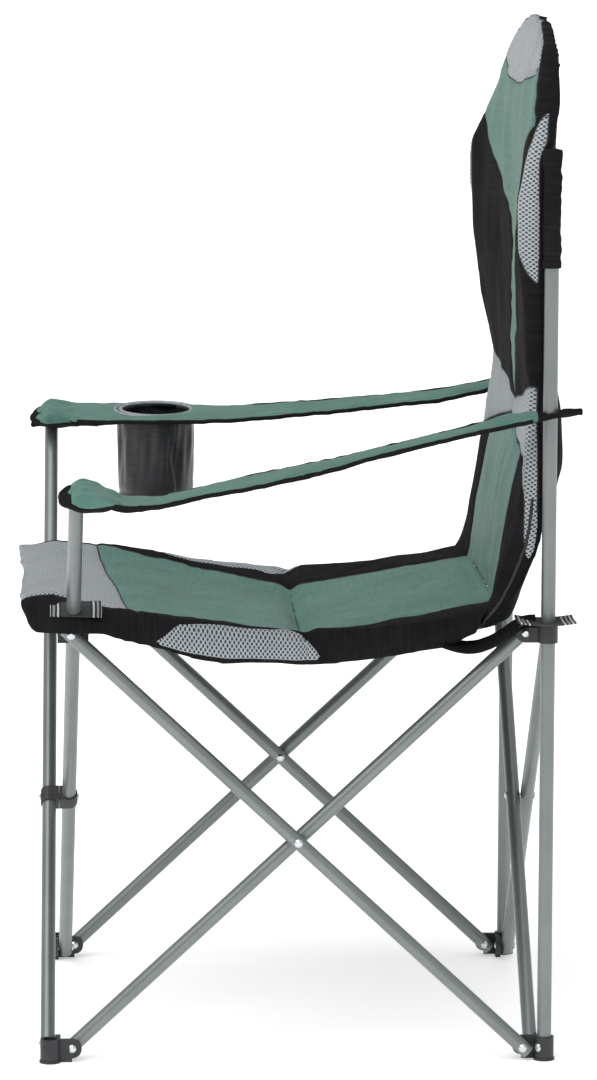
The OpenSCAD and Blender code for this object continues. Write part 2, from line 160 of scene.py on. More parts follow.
def wave(tree, value, sizeMm, kind="SINE"):
    # A ripple that repeats every sizeMm
    turns = addNode(tree, "ShaderNodeMath", {0: value, 1: 2 * math.pi / (sizeMm * mm)}, operation="MULTIPLY")
    return addNode(tree, "ShaderNodeMath", {0: turns}, operation=kind)


def finished(tree, shader, colour, height, distance, strength, under=None):
    # Gives the shader its colour and a bump of the given height, over a coarser one if there is one
    if colour:
        tree.links.new(colour, shader.inputs["Base Color"])
    inputs = {"Height": height, "Distance": distance, "Strength": strength}
    if under:
        inputs["Normal"] = under
    tree.links.new(addNode(tree, "ShaderNodeBump", inputs), shader.inputs["Normal"])


powderCoat = {"colour": "#787f7e", "worn": "#848a89", "roughness": 0.34, "metallic": 0.55, "rub": 14.0,
              "grain": 900.0, "grainHeight": 0.00012}


def makePowderCoat():
    # Powder-coated steel tube: a satin grey with a fine orange-peel skin and slightly lighter rub marks
    material, tree, shader = startMaterial(
        "powderCoatedSteel", powderCoat["colour"], powderCoat["roughness"], powderCoat["metallic"])
    where = addNode(tree, "ShaderNodeTexCoord", output="Object")
    rub = addNode(tree, "ShaderNodeTexNoise", {
        "Vector": where, "Scale": powderCoat["rub"], "Detail": 4.0, "Roughness": 0.6})
    stops = [(0.35, powderCoat["colour"]), (0.75, powderCoat["worn"])]
    colour = addNode(tree, "ShaderNodeValToRGB", {"Fac": rub}, stops=stops)
    peel = addNode(tree, "ShaderNodeTexNoise", {"Vector": where, "Scale": powderCoat["grain"], "Detail": 2.0})
    finished(tree, shader, colour, peel, powderCoat["grainHeight"], 0.5)
    return material


blackPlastic = {"colour": "#242527", "pale": "#323436", "roughness": 0.5, "cloud": 60.0, "spark": 1400.0,
                "sparkHeight": 0.0002}


def makePolypropylene():
    # Injection-moulded black polypropylene: spark-eroded matte texture, a little paler where it is handled
    material, tree, shader = startMaterial(
        "mouldedPolypropylene", blackPlastic["colour"], blackPlastic["roughness"])
    where = addNode(tree, "ShaderNodeTexCoord", output="Object")
    cloud = addNode(tree, "ShaderNodeTexNoise", {"Vector": where, "Scale": blackPlastic["cloud"],
        "Detail": 3.0})
    stops = [(0.3, blackPlastic["colour"]), (0.8, blackPlastic["pale"])]
    colour = addNode(tree, "ShaderNodeValToRGB", {"Fac": cloud}, stops=stops)
    spark = addNode(tree, "ShaderNodeTexNoise", {"Vector": where, "Scale": blackPlastic["spark"],
        "Detail": 2.0})
    finished(tree, shader, colour, spark, blackPlastic["sparkHeight"], 0.6)
    return material


zincPlate = {"colour": "#d4d6d8", "roughness": 0.24, "spots": 500.0, "smoothest": 0.16, "dullest": 0.4}


def makeZincPlate():
    # Zinc-plated steel rivets: bright, with fine turning marks and small dull spots
    material, tree, shader = startMaterial("zincPlatedSteel", zincPlate["colour"], zincPlate["roughness"],
        1.0)
    where = addNode(tree, "ShaderNodeTexCoord", output="Object")
    dull = addNode(tree, "ShaderNodeTexNoise", {"Vector": where, "Scale": zincPlate["spots"], "Detail": 3.0})
    roughness = addNode(tree, "ShaderNodeMapRange", {
        "Value": dull, "To Min": zincPlate["smoothest"], "To Max": zincPlate["dullest"]})
    tree.links.new(roughness, shader.inputs["Roughness"])
    finished(tree, shader, None, dull, 0.00008, 0.5)
    return material


def makePolyester(name, colour, pale, dark, roughness, threadMm=1.1, sheen=0.12, shine=0.25):
    # Plain-woven 600 denier polyester. Real threads are 0.4 mm apart; drawn coarser so that they show
    material, tree, shader = startMaterial(name, colour, roughness)
    shader.inputs["Sheen Weight"].default_value = sheen
    shader.inputs["Sheen Roughness"].default_value = 0.5
    shader.inputs["Specular IOR Level"].default_value = shine
    cloth = addNode(tree, "ShaderNodeAttribute", output="Vector", attribute_name="cloth")
    across = addNode(tree, "ShaderNodeSeparateXYZ", {"Vector": cloth})
    warp, weft = wave(tree, across, threadMm), wave(tree, across.node.outputs["Y"], threadMm)
    weave = addNode(tree, "ShaderNodeMath", {0: warp, 1: weft}, operation="MULTIPLY")
    streak = addNode(tree, "ShaderNodeMapping", {"Vector": cloth, "Scale": (30.0, 260.0, 1.0)})
    slub = addNode(tree, "ShaderNodeTexNoise", {"Vector": streak, "Scale": 1.0, "Detail": 4.0,
        "Roughness": 0.65})
    patch = addNode(tree, "ShaderNodeTexNoise", {"Vector": cloth, "Scale": 11.0, "Detail": 3.0,
        "Roughness": 0.55})
    half = addNode(tree, "ShaderNodeMath", {0: patch, 1: 0.45}, operation="MULTIPLY")
    blend = addNode(tree, "ShaderNodeMath", {0: slub, 1: 0.55, 2: half}, operation="MULTIPLY_ADD")
    base = addNode(tree, "ShaderNodeValToRGB", {"Fac": blend}, stops=[(0.32, dark), (0.5, colour), (0.72,
        pale)])
    shade = addNode(tree, "ShaderNodeMath", {0: weave, 1: 0.06, 2: 1.0}, operation="MULTIPLY_ADD")
    tinted = addNode(tree, "ShaderNodeVectorMath", {"Vector": base, "Scale": shade}, operation="SCALE")
    creases = addNode(tree, "ShaderNodeTexNoise", {"Vector": cloth, "Scale": 38.0, "Detail": 4.0,
        "Roughness": 0.6})
    low = addNode(tree, "ShaderNodeBump", {"Height": creases, "Distance": 0.0016, "Strength": 0.55})
    finished(tree, shader, tinted, weave, 0.00012, 0.6, low)
    return material


meshKnit = {"thread": "#a3aaaf", "side": "#7d858a", "hole": "#2f3438", "acrossMm": 6.0, "alongMm": 4.6}


def makeSpacerMesh():
    # Polyester spacer mesh: a warp-knitted grey face with staggered diamond holes over a dark backing
    material, tree, shader = startMaterial("spacerMesh", meshKnit["thread"], 0.75)
    shader.inputs["Sheen Weight"].default_value = 0.3
    cloth = addNode(tree, "ShaderNodeAttribute", output="Vector", attribute_name="cloth")
    across = addNode(tree, "ShaderNodeSeparateXYZ", {"Vector": cloth})
    lattice = addNode(tree, "ShaderNodeMath", {
        0: wave(tree, across, meshKnit["acrossMm"], "COSINE"),
        1: wave(tree, across.node.outputs["Y"], meshKnit["alongMm"], "COSINE")}, operation="MULTIPLY")
    patch = addNode(tree, "ShaderNodeTexNoise", {"Vector": cloth, "Scale": 16.0, "Detail": 2.0})
    level = addNode(tree, "ShaderNodeMath", {0: patch, 1: 0.25, 2: lattice}, operation="MULTIPLY_ADD")
    stops = [(0.1, meshKnit["thread"]), (0.25, meshKnit["side"]), (0.42, meshKnit["hole"])]
    colour = addNode(tree, "ShaderNodeValToRGB", {"Fac": level}, stops=stops)
    face = addNode(tree, "ShaderNodeMath", {0: level, 1: 0.1}, operation="MAXIMUM")
    sunk = addNode(tree, "ShaderNodeMath", {0: 1.0, 1: face}, operation="SUBTRACT")
    finished(tree, shader, colour, sunk, 0.0011, 0.7)
    return material


stripes = {"half": 0.03, "rib": 1.6, "ground": "#1c1c1e", "pale": "#c3c6c8", "grey": "#8b8f91"}


def makeStripedWebbing():
    # Woven polypropylene webbing: black, grey and white warp stripes across a fine rib
    material, tree, shader = startMaterial("stripedWebbing", "#3a3b3d", 0.7)
    cloth = addNode(tree, "ShaderNodeAttribute", output="Vector", attribute_name="cloth")
    across = addNode(tree, "ShaderNodeSeparateXYZ", {"Vector": cloth})
    out = addNode(tree, "ShaderNodeMath", {0: across}, operation="ABSOLUTE")
    place = addNode(tree, "ShaderNodeMath", {0: out, 1: stripes["half"]}, operation="DIVIDE")
    ground, pale, grey = stripes["ground"], stripes["pale"], stripes["grey"]
    stops = [(0.0, "#2f3133"), (0.5, ground), (0.58, pale), (0.64, ground), (0.72, grey), (0.79, ground),
             (0.86, pale), (0.92, ground)]
    colour = addNode(tree, "ShaderNodeValToRGB", {"Fac": place}, stops=stops)
    colour.node.color_ramp.interpolation = "CONSTANT"
    rib = wave(tree, across.node.outputs["Y"], stripes["rib"])
    finished(tree, shader, colour, rib, 0.0003, 0.8)
    return material


def makePiping(name, colour, dark):
    # Corded binding: the same polyester over a cord, a little shiny along the top
    material, tree, shader = startMaterial(name, colour, 0.55)
    where = addNode(tree, "ShaderNodeTexCoord", output="Object")
    cloud = addNode(tree, "ShaderNodeTexNoise", {"Vector": where, "Scale": 260.0, "Detail": 3.0})
    shade = addNode(tree, "ShaderNodeValToRGB", {"Fac": cloud}, stops=[(0.3, dark), (0.7, colour)])
    cord = addNode(tree, "ShaderNodeTexNoise", {"Vector": where, "Scale": 900.0, "Detail": 2.0})
    finished(tree, shader, shade, cord, 0.0004, 0.6)
    return material


tubeFinish = makePowderCoat()
plasticFinish = makePolypropylene()
rivetFinish = makeZincPlate()
greenCloth = makePolyester("greenPolyester", "#4f776c", "#5f877c", "#3f665c", 0.62)
blackCloth = makePolyester("blackPolyester", "#1c1b1d", "#272628", "#131214", 0.78, sheen=0.0, shine=0.05)
coatedCloth = makePolyester("coatedNylon", "#262529", "#343338", "#19181b", 0.33, 1.6, 0.03, 0.5)
meshCloth = makeSpacerMesh()
webbingStriped = makeStripedWebbing()
greyPiping = makePiping("greyPiping", "#a7adb0", "#7f868a")
darkPiping = makePiping("darkPiping", "#1d2223", "#141718")
paleThread = makePiping("paleThread", "#7f9d95", "#5f7d75")
print("materials made")

for name, thing in nodes.items():
    if name.startswith(("post_left", "post_right", "bar_", "tube_")):
        finish = tubeFinish
    elif "rivet" in name:
        finish = rivetFinish
    else:
        finish = plasticFinish
    thing.data.materials.clear()
    thing.data.materials.append(finish)


def startGroup(name, numbers):
    tree = bpy.data.node_groups.new(name, "GeometryNodeTree")
    tree.interface.new_socket("Geometry", in_out="INPUT", socket_type="NodeSocketGeometry")
    for label, value in numbers.items():
        socket = tree.interface.new_socket(label, in_out="INPUT", socket_type="NodeSocketFloat")
        socket.default_value = value
    tree.interface.new_socket("Material", in_out="INPUT", socket_type="NodeSocketMaterial")
    tree.interface.new_socket("Geometry", in_out="OUTPUT", socket_type="NodeSocketGeometry")
    given = addNode(tree, "NodeGroupInput").node.outputs
    return tree, given, addNode(tree, "GeometryNodeMeshToCurve", {"Mesh": given["Geometry"]})


def endGroup(tree, given, geometry):
    rounded = addNode(tree, "GeometryNodeSetShadeSmooth", {"Geometry": geometry})
    real = addNode(tree, "GeometryNodeRealizeInstances", {"Geometry": rounded})
    painted = addNode(tree, "GeometryNodeSetMaterial", {"Geometry": real, "Material": given["Material"]})
    addNode(tree, "NodeGroupOutput", {"Geometry": painted})
    return tree


def makePipingTree():
    # A round cord swept along a line of edges
    tree, given, path = startGroup("pipingAlongPath", {"Radius": 0.002, "Step": 0.006})
    even = addNode(tree, "GeometryNodeResampleCurve", {"Curve": path, "Length": given["Step"]}, mode="LENGTH")
    ring = addNode(tree, "GeometryNodeCurvePrimitiveCircle", {"Resolution": 8, "Radius": given["Radius"]})
    swept = addNode(tree, "GeometryNodeCurveToMesh", {"Curve": even, "Profile Curve": ring,
        "Fill Caps": True})
    return endGroup(tree, given, swept)


def makeStitchTree():
    # Single stitches at even distances along a line of edges
    tree, given, path = startGroup("stitchesAlongPath", {"Spacing": 0.0055, "Length": 0.0036,
        "Thickness": 0.0011})
    spots = addNode(tree, "GeometryNodeCurveToPoints", {"Curve": path, "Length": given["Spacing"]},
        mode="LENGTH")
    stitch = addNode(tree, "GeometryNodeMeshUVSphere", {"Segments": 6, "Rings": 4, "Radius": 0.5})
    turned = addNode(tree, "FunctionNodeAlignRotationToVector", {"Vector": spots.node.outputs["Tangent"]},
        axis="X")
    size = addNode(tree, "ShaderNodeCombineXYZ", {
        "X": given["Length"], "Y": given["Thickness"], "Z": given["Thickness"]})
    placed = addNode(tree, "GeometryNodeInstanceOnPoints", {
        "Points": spots, "Instance": stitch, "Rotation": turned, "Scale": size})
    return endGroup(tree, given, placed)


pipingTree = makePipingTree()
stitchTree = makeStitchTree()


def closedPad(name, upper, lower):
    # Two grids of points in mm, joined round their rim into one closed shape
    rows, cols, _ = upper.shape
    count = rows * cols
    points = np.concatenate([upper.reshape(-1, 3), lower.reshape(-1, 3)]) * mm
    faces = []
    for j in range(rows - 1):
        for i in range(cols - 1):
            a, b, c, d = j * cols + i, j * cols + i + 1, (j + 1) * cols + i + 1, (j + 1) * cols + i
            faces += [(a, b, c, d), (a + count, d + count, c + count, b + count)]
    rim = [j for j in range(cols)] + [j * cols + cols - 1 for j in range(1, rows)]
    rim += [count - 1 - i for i in range(1, cols)] + [j * cols for j in range(rows - 2, 0, -1)]
    for a, b in zip(rim, rim[1:] + rim[:1]):
        faces.append((b, a, a + count, b + count))
    mesh = meshFrom(name, points, faces)
    faceOutwards(mesh)
    return newObject(name, mesh)


def remeshed(thing, voxelMm):
    modifier = thing.modifiers.new("even", "REMESH")
    modifier.mode = "VOXEL"
    modifier.voxel_size = voxelMm * mm
    return baked(thing)


def relaxed(thing, times=3):
    modifier = thing.modifiers.new("relax", "SMOOTH")
    modifier.factor = 0.5
    modifier.iterations = times
    return baked(thing)


puffing = {"pressure": 4.5, "frames": 16, "stiffness": 12.0, "bending": 0.4, "quality": 4}


def puff(thing, pinned, capMm):
    # Inflates the pad like a stuffed cover, held at its seams, and never further than capMm
    start = coords(thing.data)
    group = thing.vertex_groups.new(name="seams")
    group.add([int(i) for i in np.nonzero(pinned)[0]], 1.0, "REPLACE")
    modifier = thing.modifiers.new("puff", "CLOTH")
    cloth = modifier.settings
    cloth.quality = puffing["quality"]
    cloth.tension_stiffness = cloth.compression_stiffness = puffing["stiffness"]
    cloth.bending_stiffness = puffing["bending"]
    cloth.use_pressure = True
    cloth.uniform_pressure_force = puffing["pressure"]
    cloth.vertex_group_mass = "seams"
    cloth.effector_weights.gravity = 0
    modifier.collision_settings.use_self_collision = False
    modifier.point_cache.frame_end = puffing["frames"] + 2
    for step in range(1, puffing["frames"] + 1):
        bpy.context.scene.frame_set(step)
    evaluated = thing.evaluated_get(bpy.context.evaluated_depsgraph_get())
    moved = coords(evaluated.data) - start
    thing.modifiers.clear()
    thing.vertex_groups.clear()
    length = np.linalg.norm(moved, axis=1, keepdims=True)
    limit = capMm * mm
    eased = limit * np.tanh(length / limit)
    setCoords(thing.data, start + moved * eased / np.maximum(length, 1e-9))
    bpy.context.scene.frame_set(1)


def normalsOf(mesh):
    flat = np.empty(len(mesh.vertices) * 3, np.float32)
    mesh.vertices.foreach_get("normal", flat)
    return flat.reshape(-1, 3).astype(float)


def pushAlongNormals(mesh, amountMm):
    setCoords(mesh, coords(mesh) + normalsOf(mesh) * np.asarray(amountMm)[:, None] * mm)


def subdivided(thing):
    modifier = thing.modifiers.new("finer", "SUBSURF")
    modifier.levels = modifier.render_levels = 1
    return baked(thing)


def cutAlong(mesh, fields):
    # Cuts the mesh where each stored number changes sign, so that every panel ends on its own seam
    shape = bmesh.new()
    shape.from_mesh(mesh)
    for name in fields:
        layer = shape.verts.layers.float[name]
        shape.edges.ensure_lookup_table()
        crossing = []
        for edge in shape.edges:
            a, b = edge.verts
            if a[layer] * b[layer] < 0:
                share = a[layer] / (a[layer] - b[layer])
                if share < 0.12:
                    a[layer] = 0
                elif share > 0.88:
                    b[layer] = 0
                else:
                    crossing.append((edge, a, share))
        onSeam = []
        for edge, a, share in crossing:
            if a[layer] != 0 and edge.other_vert(a)[layer] != 0:
                made = bmesh.utils.edge_split(edge, a, share)[1]
                made[layer] = 0
                onSeam.append(made)
        known = set(onSeam)
        onSeam += [v for v in shape.verts if v[layer] == 0 and v not in known]
        bmesh.ops.connect_verts(shape, verts=onSeam)
    bmesh.ops.triangulate(shape, faces=[f for f in shape.faces if len(f.verts) > 4])
    shape.to_mesh(mesh)
    shape.free()


def paintPanels(thing, fields, choose, materials):
    # choose gets every face's mean numbers and returns the index of its cloth
    mesh = thing.data
    cutAlong(mesh, fields)
    mesh.materials.clear()
    for material in materials:
        mesh.materials.append(material)
    loops = np.empty(len(mesh.loops), np.int64)
    mesh.loops.foreach_get("vertex_index", loops)
    starts = np.empty(len(mesh.polygons), np.int64)
    mesh.polygons.foreach_get("loop_start", starts)
    means = {}
    for name in fields:
        values = readNumbers(mesh, name)[loops]
        totals = np.add.reduceat(values, starts)
        means[name] = totals
    mesh.polygons.foreach_set("material_index", choose(means).astype(np.int32))
    mesh.update()


def seamDip(distance, depth=1.6, reach=5.0):
    # How far a sewn seam is pulled in, by the distance from it in mm
    return -depth * np.exp(-(np.abs(distance) / reach) ** 2 * 2)


def puckers(distance, along, height=0.7, spacing=13.0, reach=16.0):
    # Small uneven gathers that stand off a seam and die out
    wander = np.sin(along / 47.0) * 2.1 + np.sin(along / 19.0 + 1.3) + np.sin(along / 7.7)
    strength = 0.5 + 0.5 * np.sin(along / 31.0 + 2.0) * np.sin(along / 53.0)
    ripple = np.sin(2 * np.pi * along / spacing + wander)
    return height * strength * np.exp(-np.abs(distance) / reach) * ripple


def crumple(points, size, height, seed=0.0):
    # Soft irregular rumples in mm, the same every time
    place = points / size + seed
    return height * np.array([noise.noise(Vector(p)) for p in place])


def span(start, end, count):
    return np.linspace(start, end, count)


def seamEdges(mesh, field, keep):
    # The cut seam itself, as points and edges in metres, where keep says yes
    values = np.abs(readNumbers(mesh, field)) < 1e-4
    points = coords(mesh)
    wanted = values & keep(*(points.T / mm))
    pairs = np.empty(len(mesh.edges) * 2, np.int64)
    mesh.edges.foreach_get("vertices", pairs)
    pairs = pairs.reshape(-1, 2)
    pairs = pairs[wanted[pairs].all(axis=1)]
    used, renamed = np.unique(pairs, return_inverse=True)
    return points[used], renamed.reshape(-1, 2)


def alongEdges(name, tree, points, edges, material, **numbers):
    mesh = bpy.data.meshes.new(name)
    mesh.from_pydata([tuple(p) for p in points], [tuple(int(i) for i in e) for e in edges], [])
    thing = newObject(name, mesh)
    modifier = thing.modifiers.new("path", "NODES")
    modifier.node_group = tree
    sockets = {item.name: item.identifier for item in tree.interface.items_tree if item.in_out == "INPUT"}
    for label, value in numbers.items():
        modifier[sockets[label]] = value
    modifier[sockets["Material"]] = material
    return baked(thing)


def alongPath(name, tree, path, material, closed=False, **numbers):
    count = len(path)
    edges = [(i, (i + 1) % count) for i in range(count if closed else count - 1)]
    return alongEdges(name, tree, path, edges, material, **numbers)


def drilled(thing, centreMm, radiusMm, lowMm, highMm):
    # Cuts a round hole down through a pad
    around = span(0, 2 * np.pi, 49)[:-1]
    ring = [(centreMm[0] + radiusMm * math.cos(a), centreMm[1] + radiusMm * math.sin(a)) for a in around]
    count = len(ring)
    points = [(x * mm, y * mm, z * mm) for z in (lowMm, highMm) for x, y in ring]
    faces = [tuple(range(count))[::-1], tuple(range(count, 2 * count))]
    faces += [(i, (i + 1) % count, (i + 1) % count + count, i + count) for i in range(count)]
    cutter = newObject("cutter", meshFrom("cutter", points, faces))
    modifier = thing.modifiers.new("hole", "BOOLEAN")
    modifier.operation = "DIFFERENCE"
    modifier.solver = "EXACT"
    modifier.object = cutter
    baked(thing)
    bpy.data.objects.remove(cutter)
    return thing


seat = {"crest": 246, "sag": 20, "thick": 25, "seamY": 8, "front": -290, "rear": 211, "lap": 3.5,
    "voxel": 5.0,
        "cap": 7.0}
seatCrestLine = [(-290, 470), (-255, 481), (-180, 475), (-90, 461), (0, 451), (70, 455), (150, 464), (211,
    475)]
seatLowLine = [(-290, 454), (-246, 452), (-205, 453), (-185, 446), (-158, 436), (-120, 425), (-75, 418),
    (-10, 417),
               (42, 419), (104, 426), (156, 435), (211, 447)]
seatBandLine = [(-300, 238), (-190, 236), (-150, 216), (-60, 196), (0, 186), (80, 180), (215, 184)]
leafOuterLine = [(-166, 27), (-140, 29), (24, 29), (38, 28)]
leafInnerLine = [(-166, 27), (-150, 8), (-125, -15), (-60, -22), (-28, -22), (-14, -31), (-4, -26), (14,
    -6), (38, 26)]


def ease(value, low, high):
    t = np.clip((value - low) / (high - low), 0, 1)
    return t * t * (3 - 2 * t)


def seatCrestZ(x, y):
    # The front corners stand a little proud, the left one most
    left = 13 * ease(x, 120, 230) * (1 - ease(y, -285, -215))
    right = 6 * ease(-x, 120, 230) * (1 - ease(y, -290, -262))
    return table(y, seatCrestLine) + left + right


def seatUpperZ(x, y):
    sag = seat["sag"] * np.sin(np.radians(np.maximum(0, 90 * (y + 290) / 250)))
    outer = np.minimum(np.abs(x) / seat["crest"], 1)
    return seatCrestZ(x, y) - sag * (1 - outer ** 4.5) + 4 * np.exp(-((outer - 0.9) / 0.1) ** 2)


def seatGrids(startY, endY, rows):
    y, s = np.meshgrid(span(startY, endY, rows), span(-1, 1, 65), indexing="ij")
    side = np.sign(s)
    inner = np.minimum(np.abs(s) / 0.84, 1)
    down = np.maximum((np.abs(s) - 0.84) / 0.16, 0)
    lowZ = table(y, seatLowLine)
    corner = 1 - ease(y, -200, -150)
    outwards = table(down, [(0, 0), (0.3, 9), (0.6, 14), (1, 12)]) * (1 - corner)
    outwards += table(down, [(0, 0), (0.3, 14), (0.6, 25), (0.8, 29), (1, 30)]) * corner
    drop = table(down, [(0, 0), (0.3, 0.2), (0.6, 0.55), (1, 1)])
    x = seat["crest"] * inner + outwards
    crestZ = seatUpperZ(side * seat["crest"], y)
    z = np.where(inner < 1, seatUpperZ(side * seat["crest"] * inner, y), crestZ - (crestZ - lowZ) * drop)
    # Both ends slant: the front face tucks under, and the rear corners are cut back to meet the back's wings
    slant = 14 * down * (1 - ease(y, -290, -230)) - (12 * ease(np.abs(s), 0.7, 0.9) + 14 * down) * ease(y,
        150, 211)
    # The right front corner reaches further forward
    reach = -11 * (1 - ease(y, -290, -225)) * ease(-s, 0.1, 0.9)
    upper = np.stack([side * x, y + slant + reach, z], -1)
    under = np.abs(s) ** 3
    lowX = np.abs(s) * (x.max(axis=1, keepdims=True) - 5)
    lowCentre = seatUpperZ(side * np.minimum(lowX, seat["crest"]), y) - seat["thick"]
    lowSlant = 14 * (1 - ease(y, -290, -230)) - 26 * ease(np.abs(s), 0.7, 0.95) * ease(y, 150, 211)
    lower = np.stack([side * lowX, y + lowSlant + reach, lowCentre * (1 - under) + (lowZ + 1) * under], -1)
    # Over the corner joints the pad is only a skin, so that joint and tube stand inside it
    pocket = ease(np.abs(x), 216, 226) * ease(y, -282, -274) * (1 - ease(y, -210, -198))
    skin = upper - np.stack([side * (3 + 4 * down), 0 * y, 9 - 8 * down], -1)
    lower = lower * (1 - pocket[..., None]) + skin * pocket[..., None]
    return upper, lower


def seatNumbers(points):
    x, y, z = points.T
    outer = np.abs(x)
    crestZ, lowZ = seatUpperZ(np.sign(x) * seat["crest"], y), table(y, seatLowLine)
    fall = np.clip((crestZ - z) / (crestZ - lowZ), 0, 1.2) * 35
    girth = np.where(outer < seat["crest"], outer - seat["crest"], np.maximum(fall, outer - seat["crest"]))
    above = np.where(outer < seat["crest"], z - seatUpperZ(x, y) + 13, z - lowZ - 7)
    # The left leaf hangs a little lower than the right one
    leaf = np.minimum(girth - table(y, leafInnerLine) - 21 * (x > 0), table(y, leafOuterLine) - girth)
    leaf = np.minimum(leaf, (np.minimum(y + 166, 38 - y)) * 0.8)
    return {
        "above": above,
        "band": table(y, seatBandLine) - outer,
        "roll": -188 + 21 * x / 235 - y,
        "leaf": np.minimum(leaf, above + 2),
        "girth": girth,
    }


def seatPanels(means):
    inside = (means["band"] > 0) & (means["above"] > 0)
    chosen = np.where(inside, 1, 0)
    chosen = np.where(inside & (means["roll"] > 0), 2, chosen)
    return np.where(means["leaf"] > 0, 2, chosen)


def makeSeatPart(name, startY, endY, rows, body, node):
    pad = remeshed(closedPad(name, *seatGrids(startY, endY, rows)), seat["voxel"])
    relaxed(pad, 2)
    numbers = seatNumbers(coords(pad.data) / mm)
    for label, values in numbers.items():
        storeNumbers(pad.data, label, values)
    x, y = coords(pad.data).T[:2] / mm
    storeCloth(pad.data, np.sign(x) * (seat["crest"] + numbers["girth"]), y)
    held = (numbers["above"] < 4) | (np.abs(y - seat["seamY"]) < 5) | (np.abs(x) > seat["crest"] - 6)
    held |= (y < -280) | (y > 196) | (np.abs(numbers["roll"]) < 3)
    held |= (np.abs(x) > 205) & (y < -190)
    puff(pad, held, seat["cap"])
    subdivided(pad)
    x, y = coords(pad.data).T[:2] / mm
    rollGap, bandGap = readNumbers(pad.data, "roll"), readNumbers(pad.data, "band")
    top = ease(readNumbers(pad.data, "above"), -2, 6)
    move = seamDip(rollGap) + seamDip(bandGap, 1.8, 6)
    move += puckers(bandGap, y, 0.5, 17) + puckers(y - seat["seamY"], x, 0.9, 19, 22)
    move += seamDip(readNumbers(pad.data, "leaf"), 1.2, 4) - 4 * np.exp(-((y - seat["seamY"]) / 9) ** 2)
    folds = crumple(coords(pad.data) / mm * (0.7, 1.5, 1), 70, 3.0) + crumple(coords(pad.data) / mm, 30,
        1.4, 5)
    pushAlongNormals(pad.data, (move + folds) * top + 0.6 * folds * (1 - top))
    paintPanels(pad, ["above", "band", "roll", "leaf"], seatPanels, [blackCloth, greenCloth, meshCloth])
    smooth(pad)
    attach(pad, body)
    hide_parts(node)
    return pad


def addSeamLines(name, pad, fields, radiusMm, body, keep, material=None):
    # A thin corded line along the cut seams of a pad
    points, edges = [], []
    for field in fields:
        found, pairs = seamEdges(pad.data, field, keep)
        edges += [(a + len(points), b + len(points)) for a, b in pairs.tolist()]
        points += [tuple(p) for p in found]
    line = alongEdges(name, pipingTree, points, edges, material or darkPiping, Radius=radiusMm * mm,
        Step=0.007)
    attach(line, body)
    return line


seatFront = makeSeatPart("seatFront", seat["front"], seat["seamY"] + seat["lap"], 60, "seat_front",
    "seat_front_pad")
seatRear = makeSeatPart("seatRear", seat["seamY"] - seat["lap"], seat["rear"], 40, "seat_rear",
    "seat_rear_pad")
print("seat sewn", len(seatFront.data.polygons), len(seatRear.data.polygons))


back = {"low": 470, "high": 1081, "crest": 236, "voxel": 5.0, "cap": 5.0}
backMidLine = [(446, 206), (478, 211), (540, 217), (600, 227), (672, 243), (740, 241), (860, 241), (960,
    240), (1010, 240),
               (1030, 244), (1050, 249), (1068, 256), (1081, 260)]
# The right bolster stands further forward than the left one
rightCrestLine = [(446, 178), (464, 186), (478, 200), (501, 207), (540, 216), (585, 221), (660, 234), (691,
    236),
                  (721, 233), (770, 222), (840, 211), (896, 208), (935, 209), (974, 228), (1008, 244),
                  (1041, 251),
                  (1081, 260)]
leftCrestLine = [(446, 178), (464, 186), (478, 197), (501, 204), (531, 212), (565, 222), (600, 229), (660,
    235),
                 (700, 236), (770, 230), (840, 223), (896, 223), (914, 225), (954, 233), (982, 239), (1008,
                     243),
                 (1041, 249), (1081, 258)]
backHalfLine = [(446, 248), (478, 252), (520, 254), (600, 256), (640, 255), (668, 244), (694, 244), (720,
    255),
                (940, 256), (965, 251), (1000, 243), (1025, 227), (1041, 207), (1058, 170), (1069, 138),
                (1077, 92),
                (1081, 50)]
backEdgeLine = [(446, 183), (464, 193), (481, 212), (499, 227), (537, 246), (560, 249), (940, 249), (958,
    257),
                (1000, 260), (1081, 263)]
backRearLine = [(446, 222), (478, 232), (540, 248), (580, 266), (620, 277), (676, 276), (720, 267), (960,
    265),
                (1000, 268), (1041, 271), (1068, 271), (1081, 268)]
veeLine = [(665, 0), (690, 12), (760, 22), (840, 30), (870, 44), (900, 105), (925, 150), (955, 200), (975,
    240),
           (1000, 300)]
backLeafLine = [(792, 30), (806, 22), (822, 8), (845, -1), (880, -5), (915, -3), (945, 1), (965, 4), (978,
    7), (988, 14),
                (996, 30)]
lumbarLowLine = [(0, 657), (60, 648), (120, 640), (170, 632), (220, 620), (236, 606), (241, 588), (246,
    564), (252, 544),
                 (258, 528)]


def backCrestY(x, z):
    toLeft = ease(x, -120, 120)
    return table(z, rightCrestLine) * (1 - toLeft) + table(z, leftCrestLine) * toLeft


def backFrontY(x, z):
    share = np.minimum(np.abs(x) / back["crest"], 1) ** 2.4
    valley = 4 * np.exp(-((x - 195) / 30) ** 2) * ease(z, 490, 530) * (1 - ease(z, 620, 660))
    return table(z, backMidLine) * (1 - share) + backCrestY(x, z) * share + valley


